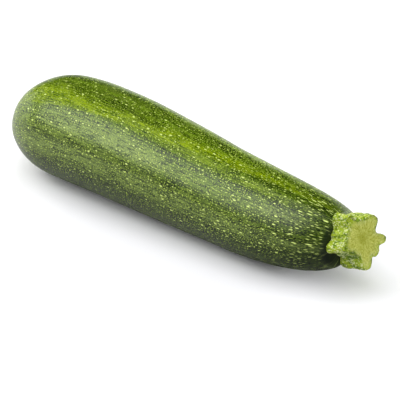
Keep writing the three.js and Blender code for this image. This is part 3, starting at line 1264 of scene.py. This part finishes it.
def spot_material():
    """The whitish, satin skin of a hair spot."""
    material, tree, shader = new_material("stalk hair spot")
    place = Term(add(tree, "ShaderNodeTexCoord").outputs["Object"])
    grain = effect(tree, mottling, vector=place, **SPOT_GRAIN)
    plug(shader.inputs["Base Color"], mix(between(grain, 0.3, 1.0), RIDGE_GREEN, HAIR_SPOT))
    plug(shader.inputs["Roughness"], 0.4 + grain * 0.1)
    return material


blister_mesh = grow(blister_maker, "stalk_blisters", {**BLISTERS, "Spot": spot_material()}, stalk_mesh)
blisters = add_piece("stalk_blisters", blister_mesh, "stalk")
print(blisters.name, len(blister_mesh.polygons), "faces,", round(volume_ml(blister_mesh), 4), "ml")

# %% [markdown]
# ## The studio
# Pictures of food are lit by a few large, soft sources, so that a waxy skin shows broad pale sheens instead
# of hard glints. Each source here is one rectangle of light: its glow is what the skin mirrors, and its
# power follows from the glow and the area. Some sources only light the scene and aren't mirrored, so that
# the sheens stay few and keep their edges. The floor is near-white where the camera sees it and greyer to
# the other rays, so that it doesn't throw too much light back up under the fruit. By the flower's end the
# camera sees it lighter still, painted light that thins the fruit's shadow there. What the skin mirrors of
# it is darkest by the stalk, as if the room beyond that end were dim.

# %% Lights
COURGETTE_MIDDLE = (0, 0, 0.02)
LIGHTS = [
    {"name": "window foot", "place": (-1.1, -1.448, 0.361), "size": (1.8, 0.313), "glow": 0.2},
    {"name": "window low", "place": (-1.1, -1.244, 0.778), "size": (1.8, 0.624), "glow": 2.2},
    {"name": "window high", "place": (-1.1, -0.82, 1.216), "size": (1.8, 0.624), "glow": 2.5},
    {"name": "window top", "place": (-1.375, -0.151, 1.434), "size": (1.25, 0.827), "glow": 0.95,
     "mirrored": False},
    {"name": "window corner", "place": (-0.4, -0.151, 1.434), "size": (0.7, 0.827), "glow": 1.15},
    {"name": "overhead front", "place": (0.3, -0.554, 1.220), "size": (1.0, 0.58), "glow": 1.93,
     "mirrored": False},
    {"name": "overhead", "place": (0.3, 0.117, 1.335), "size": (1.0, 0.70), "glow": 1.8,
     "mirrored": False},
    {"name": "back high", "place": (0.1, 0.936, 1.022), "size": (1.8, 1.148), "glow": 0.55,
     "mirrored": False},
    {"name": "back", "place": (0.5, 1.413, 0.473), "size": (1.6, 0.34), "glow": 3.4},
    {"name": "back low", "place": (0.3, 1.483, 0.182), "size": (1.8, 0.262), "glow": 18.1,
     "mirrored": False},
    {"name": "back rim", "place": (0.3, 1.48, 0.18), "size": (1.8, 0.262), "glow": 1.2},
    {"name": "right", "place": (1.1, -1.0, 0.5), "size": (1.4, 0.8), "glow": 1.4,
     "aim": COURGETTE_MIDDLE, "mirrored": False},
    {"name": "right high", "place": (1.1, -0.6, 1.1), "size": (1.2, 0.6), "glow": 3.1,
     "aim": COURGETTE_MIDDLE, "mirrored": False},
    {"name": "end high", "place": (-1.4, 0, 0.75), "size": (1.0, 0.8), "glow": 4.2,
     "aim": COURGETTE_MIDDLE, "mirrored": False},
    {"name": "end low", "place": (-1.5, -0.1, 0.25), "size": (1.0, 0.4), "glow": 1.37,
     "aim": COURGETTE_MIDDLE},
]


def add_light(name, place, size, glow, aim=None, mirrored=True):
    """A soft rectangular light at a place, as bright as its glow all over. It faces its aim, or else it
    faces straight across to the line that the courgette lies along."""
    aim = aim or (place[0], 0, 0)
    data = bpy.data.lights.new(name, "AREA")
    data.shape = "RECTANGLE"
    data.size, data.size_y = size
    data.energy = glow * size[0] * size[1] * math.pi
    light = bpy.data.objects.new(name, data)
    bpy.context.collection.objects.link(light)
    light.location = place
    light.rotation_euler = (Vector(place) - Vector(aim)).to_track_quat("Z", "Y").to_euler()
    light.visible_camera = False
    light.visible_glossy = mirrored
    return light


lights = [add_light(**light) for light in LIGHTS]
print("lights:", {light.name: round(light.data.energy, 1) for light in lights})

# %% Floor and backdrop
FLOOR_HALF = 4.0
FLOOR_DROP = 0.1 * MM
FLOOR_SEEN = (0.915, 0.914, 0.945, 1.0)
# Painted light: the camera sees the floor lighter by the flower's end, which thins the fruit's shadow there.
FLOOR_SEEN_PAINTED_LIGHT_AT_FLOWER = (0.99, 0.99, 1.0, 1.0)
FLOOR_MIRRORED = (0.4, 0.4, 0.41, 1.0)
FLOOR_MIRRORED_AT_STALK = (0.14, 0.14, 0.15, 1.0)
FLOOR_MIRRORED_AT_FLOWER = (0.62, 0.62, 0.63, 1.0)
FLOOR_BOUNCE = (0.6, 0.6, 0.6, 1.0)
SEEN_PAINTED_LIGHT_SPAN = (-0.03, -0.1)
MIRRORED_CHANGE = (-0.04, -0.14)
STALK_SIDE = (0.01, 0.08)
FLOOR_ROUGHNESS = 0.9


def ray_kind(tree, kind):
    """1 for rays of that kind, 0 for others."""
    return Term(add(tree, "ShaderNodeLightPath").outputs[f"Is {kind} Ray"])


def add_floor():
    """A wide, flat, near-white floor, whose tones change a little from the flower's end to the stalk's, with
    painted light to the camera by the flower's end.
    """
    mesh = bpy.data.meshes.new("floor")
    corners = [(-1, -1), (1, -1), (1, 1), (-1, 1)]
    mesh.from_pydata([(x * FLOOR_HALF, y * FLOOR_HALF, -FLOOR_DROP) for x, y in corners], [], [range(4)])
    material, tree, shader = new_material("floor")
    along, _, _ = components(Term(add(tree, "ShaderNodeTexCoord").outputs["Object"]))
    mirrored = mix(smooth(along, *MIRRORED_CHANGE), FLOOR_MIRRORED, FLOOR_MIRRORED_AT_FLOWER)
    mirrored = mix(smooth(along, *STALK_SIDE), mirrored, FLOOR_MIRRORED_AT_STALK)
    unseen = mix(ray_kind(tree, "Glossy"), FLOOR_BOUNCE, mirrored)
    seen = mix(smooth(along, *SEEN_PAINTED_LIGHT_SPAN), FLOOR_SEEN, FLOOR_SEEN_PAINTED_LIGHT_AT_FLOWER)
    plug(shader.inputs["Base Color"], mix(ray_kind(tree, "Camera"), unseen, seen))
    shader.inputs["Roughness"].default_value = FLOOR_ROUGHNESS
    mesh.materials.append(material)
    floor = bpy.data.objects.new("floor", mesh)
    bpy.context.collection.objects.link(floor)
    return floor


def add_backdrop():
    """A world that is white to the camera and dark to everything else."""
    world = bpy.data.worlds.new("studio")
    world.use_nodes = True
    tree = world.node_tree
    background = tree.nodes["Background"]
    background.inputs["Color"].default_value = (1, 1, 1, 1)
    plug(background.inputs["Strength"], ray_kind(tree, "Camera"))
    bpy.context.scene.world = world
    return world


floor = add_floor()
backdrop = add_backdrop()
bpy.context.scene.view_settings.view_transform = "Standard"
print("stage:", floor.name, "and", backdrop.name)
